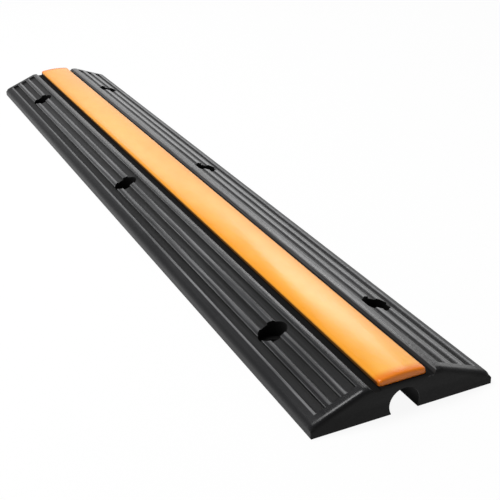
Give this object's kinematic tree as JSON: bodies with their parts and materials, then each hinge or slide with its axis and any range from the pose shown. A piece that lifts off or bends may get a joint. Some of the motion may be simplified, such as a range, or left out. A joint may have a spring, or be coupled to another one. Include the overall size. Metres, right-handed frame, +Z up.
{
  "type": "cable protector ramp",
  "caption": "Straight drop-over cable ramp: ribbed rubber body with an arched cable channel underneath, anchor holes in both slopes and an inlaid orange warning strip.",
  "frame": {"origin": "middle of the underside, on the floor, half-way along the ramp", "axes": "+Y along the ramp and its cable channel, +X across the ramp, +Z up"},
  "size_m": [0.155, 1, 0.031],
  "materials": {
    "black_rubber": "satin moulded rubber, faintly uneven",
    "orange_strip": "semi-gloss flexible PVC"
  },
  "bodies": {
    "root": {"ramp_body": "black_rubber", "warning_strip": "orange_strip"}
  },
  "joints": []
}
